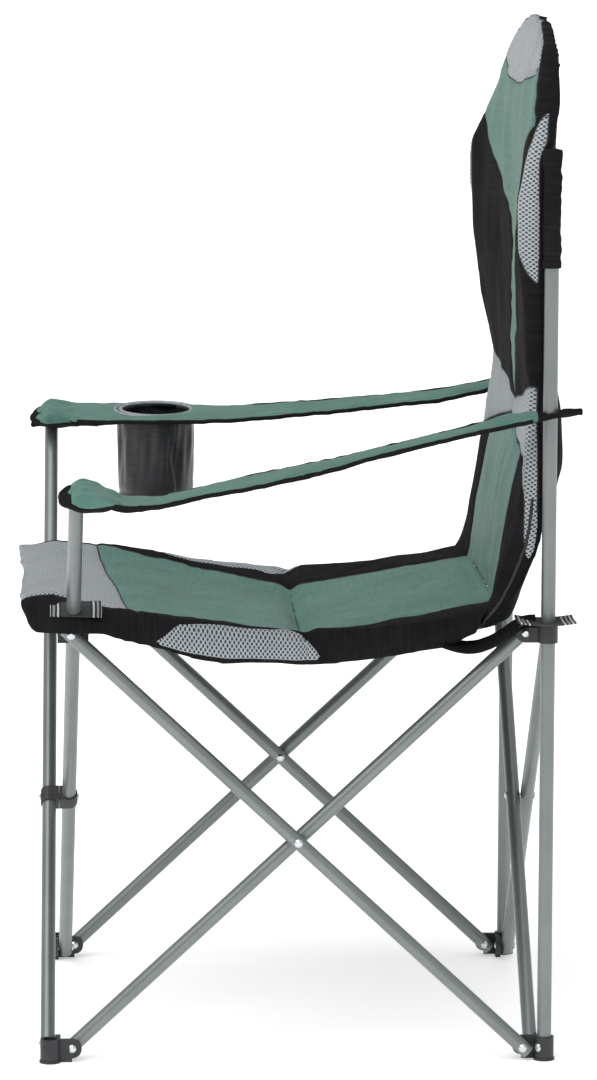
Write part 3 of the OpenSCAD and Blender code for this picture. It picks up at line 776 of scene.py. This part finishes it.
def backGrids():
    v, s = np.meshgrid(span(0, 1, 130), span(-1, 1, 65), indexing="ij")
    side = np.sign(s)
    inner = np.minimum(np.abs(s) / 0.84, 1)
    behind = np.maximum((np.abs(s) - 0.84) / 0.16, 0)
    z = back["low"] + v * (back["high"] - back["low"]) - 20 * np.abs(s) ** 4 * (1 - v) ** 10
    half = table(z, backHalfLine)
    crest = np.minimum(half - 18, back["crest"])
    x = crest * inner + (half - crest) * table(behind, [(0, 0), (0.3, 0.6), (0.6, 1), (1, 0.96)])
    edgeY = table(z, backEdgeLine)
    crestY = np.minimum(backFrontY(side * crest, z), edgeY - 4)
    frontY = np.where(inner < 1, backFrontY(side * crest * inner, z), crestY + (edgeY - crestY) * behind)
    upper = np.stack([side * x, frontY, z], -1)
    lean = np.abs(s) ** 18
    rearY = np.maximum(table(z, backRearLine) * (1 - lean) + edgeY * lean, frontY + 4 + 6 * ease(z, 960,
        1000))
    lower = np.stack([side * np.abs(s) * (half - 2), rearY, z], -1)
    return upper, lower


def backNumbers(points):
    x, y, z = points.T
    outer = np.abs(x)
    crest = np.minimum(table(z, backHalfLine) - 18, back["crest"])
    crestY, edgeY = backFrontY(np.sign(x) * crest, z), table(z, backEdgeLine)
    girth = np.where(outer < crest, outer - crest, np.maximum(y - crestY, 0))
    front = np.where(outer < crest + 6, backFrontY(x, z) + 9 - y, edgeY - 3 - y)
    face = backFrontY(x, z) + 6 - y
    lumbar = np.minimum(668 + 37 * outer / 240 - z, z - table(back["crest"] + girth, lumbarLowLine))
    return {
        "front": front,
        "head": np.minimum(
            np.minimum(z - 1009 - 22 * (outer / 200) ** 2, table(z, backHalfLine) - 17 - outer),
            face),
        "vee": np.minimum(
            np.minimum(table(z, veeLine) - outer, table(z, backHalfLine) - 17 + 6 * (z < 985) - outer),
            face + 30 * (1 - ease(z, 990, 1010))),
        "leaf": np.minimum(
            np.minimum(girth - table(z, backLeafLine) + 7 * (x < 0), edgeY - 4 - y), np.minimum(z - 792,
                996 - z)),
        "lumbar": np.minimum(lumbar, front),
        "lower": np.minimum(172 - outer, table(outer, lumbarLowLine) - 3 - z),
        "girth": girth,
    }


def backPanels(means):
    faces = means["front"] > 0
    chosen = np.where(faces & (means["vee"] > 0), 1, 0)
    chosen = np.where(faces & (means["lower"] > 0), 1, chosen)
    chosen = np.where(faces & (means["head"] > 0) | (means["lumbar"] > 0), 2, chosen)
    return np.where(faces & (means["leaf"] > 0), 2, chosen)


backFields = ["front", "head", "vee", "leaf", "lumbar", "lower"]
backPad = remeshed(closedPad("backPad", *backGrids()), back["voxel"])
relaxed(backPad, 6)
backData = backNumbers(coords(backPad.data) / mm)
for label, values in backData.items():
    storeNumbers(backPad.data, label, values)
x, y, z = coords(backPad.data).T / mm
storeCloth(backPad.data, np.sign(x) * (back["crest"] + backData["girth"]), z)
heldBack = (backData["front"] < 3) | (backData["girth"] > 12) | (np.abs(x) < 4) & (z > 668) & (z < 990)
for label in ("head", "vee", "lumbar"):
    heldBack |= np.abs(backData[label]) < 3
heldBack |= (z < 488) | (z > 1062)
puff(backPad, heldBack, back["cap"])
subdivided(backPad)
x, y, z = coords(backPad.data).T / mm
facing = ease(readNumbers(backPad.data, "front"), 0, 8)
move = sum(seamDip(readNumbers(backPad.data, label), 1.4, 5) for label in ("head", "vee", "leaf", "lumbar",
    "lower"))
move += puckers(readNumbers(backPad.data, "vee"), z, 0.8, 21, 24) + puckers(readNumbers(backPad.data,
    "lumbar"), z, 0.6, 15)
ridge = np.exp(-np.abs(x - 74 + (z - 560) * 0.2) / 16) * ease(z, 476, 500) * (1 - ease(z, 600, 650))
rumples = crumple(coords(backPad.data) / mm * (1.6, 1, 0.7), 75, 3.4) + crumple(coords(backPad.data) / mm,
    31, 1.3, 9)
pushAlongNormals(backPad.data, (move + 6 * ridge + rumples) * facing + rumples * 0.4 * (1 - facing))
paintPanels(backPad, backFields, backPanels, [blackCloth, greenCloth, meshCloth])
smooth(backPad)
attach(backPad, "rear_left_leg")
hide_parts("back_pad", "head_pad")
print("back sewn", len(backPad.data.polygons))

seatFrontSeams = addSeamLines("seatFrontSeams", seatFront, ["roll", "band"], 0.9, "seat_front",
                              lambda x, y, z: (z > seatUpperZ(x, y) - 7) & (np.abs(x) < 245))
seatRearSeams = addSeamLines("seatRearSeams", seatRear, ["band"], 0.9, "seat_rear",
                             lambda x, y, z: (z > seatUpperZ(x, y) - 7) & (np.abs(x) < 245))
backSeams = addSeamLines("backSeams", backPad, ["head", "vee", "lumbar", "leaf"], 0.9, "rear_left_leg",
                         lambda x, y, z: (y < backFrontY(x, z) + 22) & (z > 500))


def onPad(pad, rough, lift):
    # The nearest places on a pad to rough points in mm
    shape = BVHTree.FromObject(pad, bpy.context.evaluated_depsgraph_get())
    found = []
    for point in rough:
        place, normal, _, _ = shape.find_nearest(Vector(point) * mm)
        found.append(place + normal * lift * mm)
    return found


def wingLine(side, inset):
    # The double binding up the middle of each wing, from the seat's corner to behind the mesh
    heights = span(458, 590, 40)
    return [(side * 256, table(z, leftCrestLine) * inset + table(z, backEdgeLine) * (1 - inset),
        z) for z in heights]


wingSeams = []
for side, word in ((1, "Left"), (-1, "Right")):
    path = onPad(backPad, wingLine(side, 0.42), 0.3)
    wing = alongPath(f"wingSeam{word}", pipingTree, path, darkPiping, Radius=0.0016, Step=0.006)
    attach(wing, "rear_left_leg")
    wingSeams.append(wing)


arm = {"voxel": 3.0, "cap": 2.5, "thick": 5.0, "tape": 2.3, "postHole": 10.0, "cupHole": 41.0,
       "cupPlace": (-372, -140)}
armLeft = {
    "tipY": -244, "endY": -198,
    "inner": [(-250, 624), (-238, 627), (-222, 625), (-203, 616), (-180, 606), (-145, 604), (-105, 612),
        (-44, 625),
              (28, 637), (100, 652), (153, 664), (195, 674), (226, 680), (255, 683), (292, 684)],
    "outer": [(-250, 620), (-222, 619), (-203, 611), (-180, 604), (-145, 603), (-105, 611), (-44, 619), (28,
        633),
              (100, 650), (132, 656), (184, 666), (237, 675), (268, 681), (292, 683)],
    "half": [(0, 6), (0.03, 13), (0.09, 14), (0.25, 19), (0.5, 27), (0.75, 33), (1, 35)],
}
armRight = {
    "tipY": -284, "endY": -240,
    "inner": [(-290, 612), (-260, 616), (-234, 610), (-184, 611), (-135, 612), (-55, 615), (2, 620), (59,
        626),
              (138, 636), (183, 641), (235, 654), (262, 676), (292, 683)],
    "outer": [(-290, 618), (-260, 625), (-234, 621), (-184, 620), (-135, 620), (-55, 621), (2, 628), (59,
        634),
              (138, 643), (194, 652), (238, 662), (262, 679), (292, 685)],
    "half": [(0, 6), (0.03, 13), (0.09, 15), (0.25, 23), (0.45, 30), (0.62, 48), (0.72, 57), (0.82, 55),
        (0.92, 40),
             (1, 36)],
}


def armShare(plan, y):
    return np.clip((290 - y) / (290 - plan["tipY"]), 0, 1)


def armCentreX(plan, y):
    return 258 + 132.9 * np.clip((290 - y) / (270 - plan["tipY"]), 0, 1) ** 1.15


def armTopZ(plan, y, s):
    # s runs from -1 at the inner edge to 1 at the outer one
    inner, outer = table(y, plan["inner"]), table(y, plan["outer"])
    return (inner + outer) / 2 + s * (outer - inner) / 2


def makeArm(name, plan, side, body, node):
    y, s = np.meshgrid(span(plan["endY"], 292, 150), span(-1, 1, 25), indexing="ij")
    half = table(armShare(plan, y), plan["half"])
    x = armCentreX(plan, y) + half * s
    top = armTopZ(plan, y, s)
    thick = arm["thick"] + 5 * ease(armShare(plan, y), 0.8, 0.92)
    upper = np.stack([x * side, y, top + 1.5 * (1 - s ** 2)], -1)
    lower = np.stack([(x - 1.2 * s) * side, y, top - thick - 2 * (1 - s ** 2)], -1)
    pad = closedPad(name, upper, lower)
    drilled(pad, (258 * side, 258), arm["postHole"], 640, 730)
    if side < 0:
        drilled(pad, arm["cupPlace"], arm["cupHole"], 560, 660)
    remeshed(pad, arm["voxel"])
    x, y, z = coords(pad.data).T / mm
    half = table(armShare(plan, y), plan["half"])
    across = x * side - armCentreX(plan, y)
    above = z - armTopZ(plan, y, np.clip(across / half, -1, 1)) + arm["thick"] * 0.75
    storeNumbers(pad.data, "above", np.minimum(above, 244 - y))
    storeNumbers(pad.data, "edge", half - np.abs(across))
    storeCloth(pad.data, y, across)
    held = (above < 1) | (half - np.abs(across) < 3) | (y > 225)
    puff(pad, held, arm["cap"])
    subdivided(pad)
    points = coords(pad.data) / mm
    edge = readNumbers(pad.data, "edge")
    move = puckers(edge, points[:, 1], 0.5, 19, 9) + crumple(points, 34,
        1.6) - 0.9 * np.exp(-((edge - 5) / 1.6) ** 2)
    pushAlongNormals(pad.data, move)
    paintPanels(pad, ["above"], lambda means: np.where(means["above"] > 0, 1, 0), [blackCloth, greenCloth])
    smooth(pad)
    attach(pad, body)
    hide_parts(node)
    return pad


def makeBinding(name, pad, plan, side, body):
    # The folded black tape sewn along both edges
    points, edges = [], []
    for s in (-1, 1):
        y = span(plan["endY"] + 8, 240, 90)
        half = table(armShare(plan, y), plan["half"])
        rough = np.stack([(armCentreX(plan, y) + (half + 4) * s) * side, y, armTopZ(plan, y,
            s) - arm["thick"] * 0.62], -1)
        path = onPad(pad, rough, -0.6)
        edges += [(len(points) + i, len(points) + i + 1) for i in range(len(path) - 1)]
        points += path
    tape = alongEdges(name, pipingTree, points, edges, blackCloth, Radius=arm["tape"] * mm, Step=0.008)
    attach(tape, body)
    return tape


def makeCap(name, plan, side, body, node):
    # The pocket that hides the tube's end: green above, black below, gathered at the front
    y, s = np.meshgrid(span(plan["tipY"], plan["endY"] + 14, 30), span(-1, 1, 25), indexing="ij")
    along = y - plan["tipY"]
    half = table(along, [(0, 22), (8, 34), (18, 38), (34, 38), (46, 37), (62, 35)])
    x = armCentreX(plan, y) + half * s
    top = armTopZ(plan, y, s) + 0.6 + 2.2 * (1 - s ** 2) - table(along, [(0, 15), (8, 8), (20, 1), (62, 0)])
    low = np.minimum(table(along, [(0, 604), (10, 600), (26, 596.5), (40, 597), (62, 599)]), top - 5)
    low = low + 2 * s ** 2
    upper = np.stack([x * side, y, top], -1)
    lower = np.stack([(x - 1.5 * s) * side, y, low], -1)
    cap = remeshed(closedPad(name, upper, lower), arm["voxel"])
    relaxed(cap, 3)
    x, y, z = coords(cap.data).T / mm
    across = x * side - armCentreX(plan, y)
    border = 603 + 1.2 * np.sin(y / 8) + 4 * (1 - ease(y, plan["tipY"], plan["tipY"] + 20))
    above = np.minimum(z - border, y - plan["tipY"] - 9 + 2 * np.sin(across / 5))
    storeNumbers(cap.data, "above", above)
    storeCloth(cap.data, y, across)
    subdivided(cap)
    points = coords(cap.data) / mm
    x, y, z = points.T
    across = x * side - armCentreX(plan, y)
    gather = np.exp(-np.maximum(y - plan["tipY"] - 4, 0) / 20)
    folds = np.sin(across / 2.6 + 0.9 * np.sin(y / 7) + z / 9) * 1.7 * gather
    folds += np.sin(across / 8 - y / 10 + z / 15) * 1.1 + crumple(points, 16, 2.4)
    pushAlongNormals(cap.data, folds + seamDip(readNumbers(cap.data, "above"), 1.0, 3))
    paintPanels(cap, ["above"], lambda means: np.where(means["above"] > 0, 1, 0), [blackCloth, greenCloth])
    smooth(cap)
    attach(cap, body)
    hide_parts(node)
    return cap


leftArm = makeArm("armLeft", armLeft, 1, "arm_left", "arm_pad_left")
rightArm = makeArm("armRight", armRight, -1, "arm_right", "arm_pad_right")
makeCap("armCapLeft", armLeft, 1, "front_inner_tube", "arm_cap_left")
makeCap("armCapRight", armRight, -1, "front_outer_tube", "arm_cap_right")
leftTape = makeBinding("armTapeLeft", leftArm, armLeft, 1, "arm_left")
rightTape = makeBinding("armTapeRight", rightArm, armRight, -1, "arm_right")
print("arms sewn")


cup = {"rim": 615.5, "tilt": 0.085, "floor": 518.5, "radius": 44.0, "lowRadius": 43.5, "skin": 1.4,
    "segments": 160,
       "ringIn": 41.0, "ringOut": 47.5}


def lathe(name, centre, rings):
    # rings of (radius per angle, z per angle), from the inside bottom round to the outside bottom
    around = span(0, 2 * np.pi, cup["segments"] + 1)[:-1]
    count = len(around)
    points, faces = [], []
    for radius, height in rings:
        radius, height = radius + 0 * around, height + 0 * around
        points += list(zip(centre[0] + radius * np.cos(around), centre[1] + radius * np.sin(around), height))
    for ring in range(len(rings) - 1):
        for i in range(count):
            a, b = ring * count + i, ring * count + (i + 1) % count
            faces.append((a, b, b + count, a + count))
    faces.append(tuple(range(count)))
    faces.append(tuple(range((len(rings) - 1) * count, len(rings) * count)))
    thing = newObject(name, meshFrom(name, np.array(points) * mm, faces))
    faceOutwards(thing.data)
    return thing


def makePouch():
    around = span(0, 2 * np.pi, cup["segments"] + 1)[:-1]
    outside = []
    for t in span(0, 1, 40):
        rim = cup["rim"] - 0.5 - cup["tilt"] * cup["radius"] * np.cos(around)
        z = rim - t * (rim - cup["floor"])
        radius = cup["radius"] + (cup["lowRadius"] - cup["radius"]) * t - 3.2 * math.exp(-t / 0.04)
        slack = math.sin(math.pi * min(t * 1.15, 1)) * 1.3 + 0.25
        drape = np.sin(around * 7 + 1.4 * t) + 0.7 * np.sin(around * 12 - 3 * t + 1)
        drape = drape + 0.4 * np.sin(around * 23 + 5 * t)
        fold = 1.6 * np.exp(-((np.angle(np.exp(1j * (around - 0.42 - 0.05 * math.sin(9 * t)))) / 0.035) ** 2))
        outside.append((radius + drape * slack * 0.75 + fold - 1.2 * np.exp(-((t - 0.95) / 0.03) ** 2), z))
    under = [(outside[-1][0] * k, cup["floor"] - 1.2 * (1 - k)) for k in (0.97, 0.85, 0.5, 0.1)]
    inside = [(r - cup["skin"], z) for r, z in outside[:-1]]
    inside += [((r - cup["skin"]), z + cup["skin"]) for r, z in [outside[-1]] + under]
    pouch = lathe("cupPouch", arm["cupPlace"], inside[::-1] + outside + under)
    x, y, z = coords(pouch.data).T / mm
    angle = np.arctan2(y - arm["cupPlace"][1], x - arm["cupPlace"][0])
    storeCloth(pouch.data, angle * cup["radius"], z)
    pouch.data.materials.append(coatedCloth)
    smooth(pouch)
    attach(pouch, "arm_right")
    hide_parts("cup_pouch")
    return pouch


pouch = makePouch()


def circlePath(centre, radius, z, count=96):
    turns = span(0, 2 * np.pi, count + 1)[:-1]
    return [Vector((centre[0] + radius * math.cos(a), centre[1] + radius * math.sin(a),
                    z - cup["tilt"] * radius * math.cos(a))) * mm for a in turns]


cupRing = alongPath("cupRing", pipingTree, circlePath(arm["cupPlace"], cup["ringIn"], cup["rim"] + 1.8),
    greyPiping,
                    True, Radius=0.0021, Step=0.004)
cupStitches = alongPath("cupStitches", stitchTree, circlePath(arm["cupPlace"], 50.5, cup["rim"] + 0.9, 160),
    paleThread, True,
                        Spacing=0.0042, Length=0.0028, Thickness=0.001)
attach(cupStitches, "arm_right")
cupRingOuter = alongPath("cupRingOuter", pipingTree, circlePath(arm["cupPlace"], cup["ringOut"],
    cup["rim"] + 1.8), greyPiping,
                         True, Radius=0.0016, Step=0.004)
for ring in (cupRing, cupRingOuter):
    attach(ring, "arm_right")
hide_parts("cup_ring")
print("cup holder made")


def makeSleeve(name, side, body, node):
    around = span(0, 2 * np.pi, cup["segments"] + 1)[:-1]
    outside = []
    for t in span(0, 1, 60):
        z = 950 - t * 121
        radius = 9.2 + 1.4 * math.exp(-((t - 0.06) / 0.06) ** 2) + 0.6 * math.exp(-((t - 1) / 0.03) ** 2)
        rumple = np.sin(around * 3 + 11 * t) * 0.4 + np.sin(around * 5 - 23 * t) * 0.3
        rumple += 0.3 * math.sin(t * 61) * (1 + np.sin(around * 2))
        outside.append((radius + np.maximum(rumple * (0.9 + 0.5 * math.sin(9 * t)), -0.5), z))
    top = [(outside[0][0] * k, 950 + 2.2 * (1 - k)) for k in (0.05, 0.4, 0.75, 0.95)]
    inside = [(8.0, z) for z in (829.5, 948)]
    sleeve = lathe(name, (258 * side, 258), [(0.4, 948.2)] + inside[::-1] + outside[::-1] + top[::-1])
    x, y, z = coords(sleeve.data).T / mm
    storeCloth(sleeve.data, np.arctan2(y - 258, x - 258 * side) * 10, z)
    sleeve.data.materials.append(blackCloth)
    smooth(sleeve)
    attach(sleeve, body)
    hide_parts(node)
    return sleeve


makeSleeve("sleeveLeft", 1, "rear_left_leg", "sleeve_left")
makeSleeve("sleeveRight", -1, "rear_right_leg", "sleeve_right")


def strap(name, path, width, thick, sideways, material, bulge=0.0):
    # A flat band that follows path; sideways is the direction of its width. All in mm
    path = [Vector(p) for p in path]
    count = len(path)
    across = span(-0.5, 0.5, 13)
    points = []
    for layer in (0.5, -0.5):
        for i, place in enumerate(path):
            tangent = (path[min(i + 1, count - 1)] - path[max(i - 1, 0)]).normalized()
            wide = Vector(sideways[i]) if isinstance(sideways, list) else Vector(sideways)
            wide = (wide - tangent * wide.dot(tangent)).normalized()
            normal = tangent.cross(wide)
            for a in across:
                points.append(place + wide * width * a + normal * (thick * layer + bulge * (0.25 - a * a)))
    grid = np.array(points).reshape(2, count, len(across), 3)
    band = closedPad(name, grid[0], grid[1])
    lengths = np.cumsum([0] + [(b - a).length for a, b in zip(path, path[1:])])
    storeCloth(band.data, np.tile(across * width, count * 2), np.tile(np.repeat(lengths, len(across)), 2))
    band.data.materials.append(material)
    return band


def smoothPath(stations, count):
    # A path of evenly spread points through a few stations
    stations = np.array(stations, float)
    steps = np.concatenate([[0], np.cumsum(np.linalg.norm(np.diff(stations, axis=0), axis=1))])
    place = span(0, steps[-1], count)
    path = np.stack([np.interp(place, steps, stations[:, k]) for k in range(3)], -1)
    for _ in range(6):
        path[1:-1] = path[1:-1] * 0.5 + (path[:-2] + path[2:]) * 0.25
    return [tuple(p) for p in path]


webbing = {"thick": 1.8, "strap": 25}


def makeRearWebbing(side, word):
    # The patch lies across the post's joint, stripes from side to side, with the post up through its eyelet
    path = smoothPath([((258 + x) * side, 255, z) for x, z in ((-27, 465.5), (-15, 464.4), (0, 464), (15,
        464.4), (27, 465.5))], 30)
    patch = strap(f"webbingRear{word}", path, 60, webbing["thick"], (0, 1, 0), webbingStriped,
        bulge=-11 * side)
    drilled(patch, (258 * side, 258), 9.4, 450, 480)
    x, y, z = coords(patch.data).T / mm
    storeCloth(patch.data, y - 255, x)
    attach(patch, f"rear_{word.lower()}_hub")
    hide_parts(f"webbing_rear_{word.lower()}")
    smooth(patch)
    hang = smoothPath([(252 * side, y, z) for y, z in
                       ((150, 441), (162, 437), (174, 435), (186, 436), (200, 441), (212, 448), (224, 457),
                           (236, 462.4),
                        (246, 462.6))], 60)
    belt = strap(f"hangerRear{word}", hang, webbing["strap"], webbing["thick"], (0.93, 0, -0.36 * side),
        blackCloth,
                 bulge=2.0)
    smooth(belt)
    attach(belt, f"rear_{word.lower()}_hub")
    return patch, belt


def makeFrontPatch(side, word):
    # The patch lies on the seat's slanting corner, and the front tube comes up through its eyelet
    edge = [(253, 485), (258, 480), (263, 474), (267, 468)]
    if side < 0:
        edge = [(256, 471), (262, 467), (267, 462), (271, 457)]
    rough = [(x * side, -230, z) for x, z in edge]
    path = smoothPath([place / mm for place in onPad(seatFront, rough, 2.2)], 30)
    patch = strap(f"webbingFront{word}", path, 53, webbing["thick"], (0, 1, 0), webbingStriped)
    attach(patch, "seat_front")
    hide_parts(f"webbing_front_{word.lower()}")
    smooth(patch)
    return patch


makeRearWebbing(1, "Left")
makeRearWebbing(-1, "Right")
frontWebbing = [makeFrontPatch(1, "Left"), makeFrontPatch(-1, "Right")]
print("webbing made")


for piece in (seatFront, seatRear, backPad, seatFrontSeams, seatRearSeams, backSeams, *wingSeams,
    *frontWebbing):
    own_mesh(piece)
for piece in (leftArm, leftTape):
    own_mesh(piece)
for piece in (rightArm, rightTape, pouch, cupRing, cupRingOuter, cupStitches):
    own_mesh(piece)


studio = {"floor": "#fafafa", "glow": 0.42, "world": 0.55, "sun": 1.6, "key": 24.0, "fill": 7.0}

floorMesh = meshFrom("floor", [(-60, -60, 0), (60, -60, 0), (60, 60, 0), (-60, 60, 0)], [(0, 1, 2, 3)])
floor = newObject("floor", floorMesh)
floorFinish, floorTree, floorShader = startMaterial("studioPaper", studio["floor"], 0.8)
floorShader.inputs["Emission Color"].default_value = linearColour("#ffffff")
floorShader.inputs["Emission Strength"].default_value = studio["glow"]  # a light table under the paper
floorMesh.materials.append(floorFinish)

bpy.context.scene.view_settings.view_transform = "Standard"

world = bpy.data.worlds.new("studio")
bpy.context.scene.world = world
world.use_nodes = True
world.node_tree.nodes["Background"].inputs["Color"].default_value = linearColour("#ffffff")
world.node_tree.nodes["Background"].inputs["Strength"].default_value = studio["world"]

camera = newObject("camera", bpy.data.cameras.new("camera"))
camera.data.sensor_width = 36
camera.data.lens = 162.9
camera.data.clip_end = 300
yaw, pitch, roll = 0.0411, 0.1320, 0.0034
forward = Vector((-math.cos(yaw) * math.cos(pitch), math.sin(yaw) * math.cos(pitch), -math.sin(pitch)))
right = forward.cross(Vector((0, 0, 1))).normalized()
upward = right.cross(forward)
right, upward = (math.cos(roll) * right + math.sin(roll) * upward,
    math.cos(roll) * upward - math.sin(roll) * right)
pose = Matrix((right, upward, -forward)).transposed().to_4x4()
pose.translation = Vector((5.2423, -0.2057, 1.2109))
camera.matrix_world = pose
bpy.context.scene.camera = camera


def addLight(name, place, target, size, power):
    light = bpy.data.lights.new(name, "AREA")
    light.shape = "DISK"
    light.size = size
    light.energy = power
    lamp = newObject(name, light)
    lamp.location = place
    lamp.rotation_euler = (Vector(target) - Vector(place)).to_track_quat("-Z", "Y").to_euler()
    return lamp


addLight("key", (3.0, -3.0, 3.6), (0, 0, 0.5), 2.6, studio["key"])
addLight("fill", (2.5, 3.5, 2.2), (0, 0, 0.5), 3.0, studio["fill"])

sun = bpy.data.lights.new("sun", "SUN")
sun.energy = studio["sun"]
sun.angle = math.radians(60)
sunLamp = newObject("sun", sun)
sunLamp.rotation_euler = Vector((-0.35, 0.3, -1)).to_track_quat("-Z", "Y").to_euler()

bpy.context.view_layer.update()
print("scene ready")
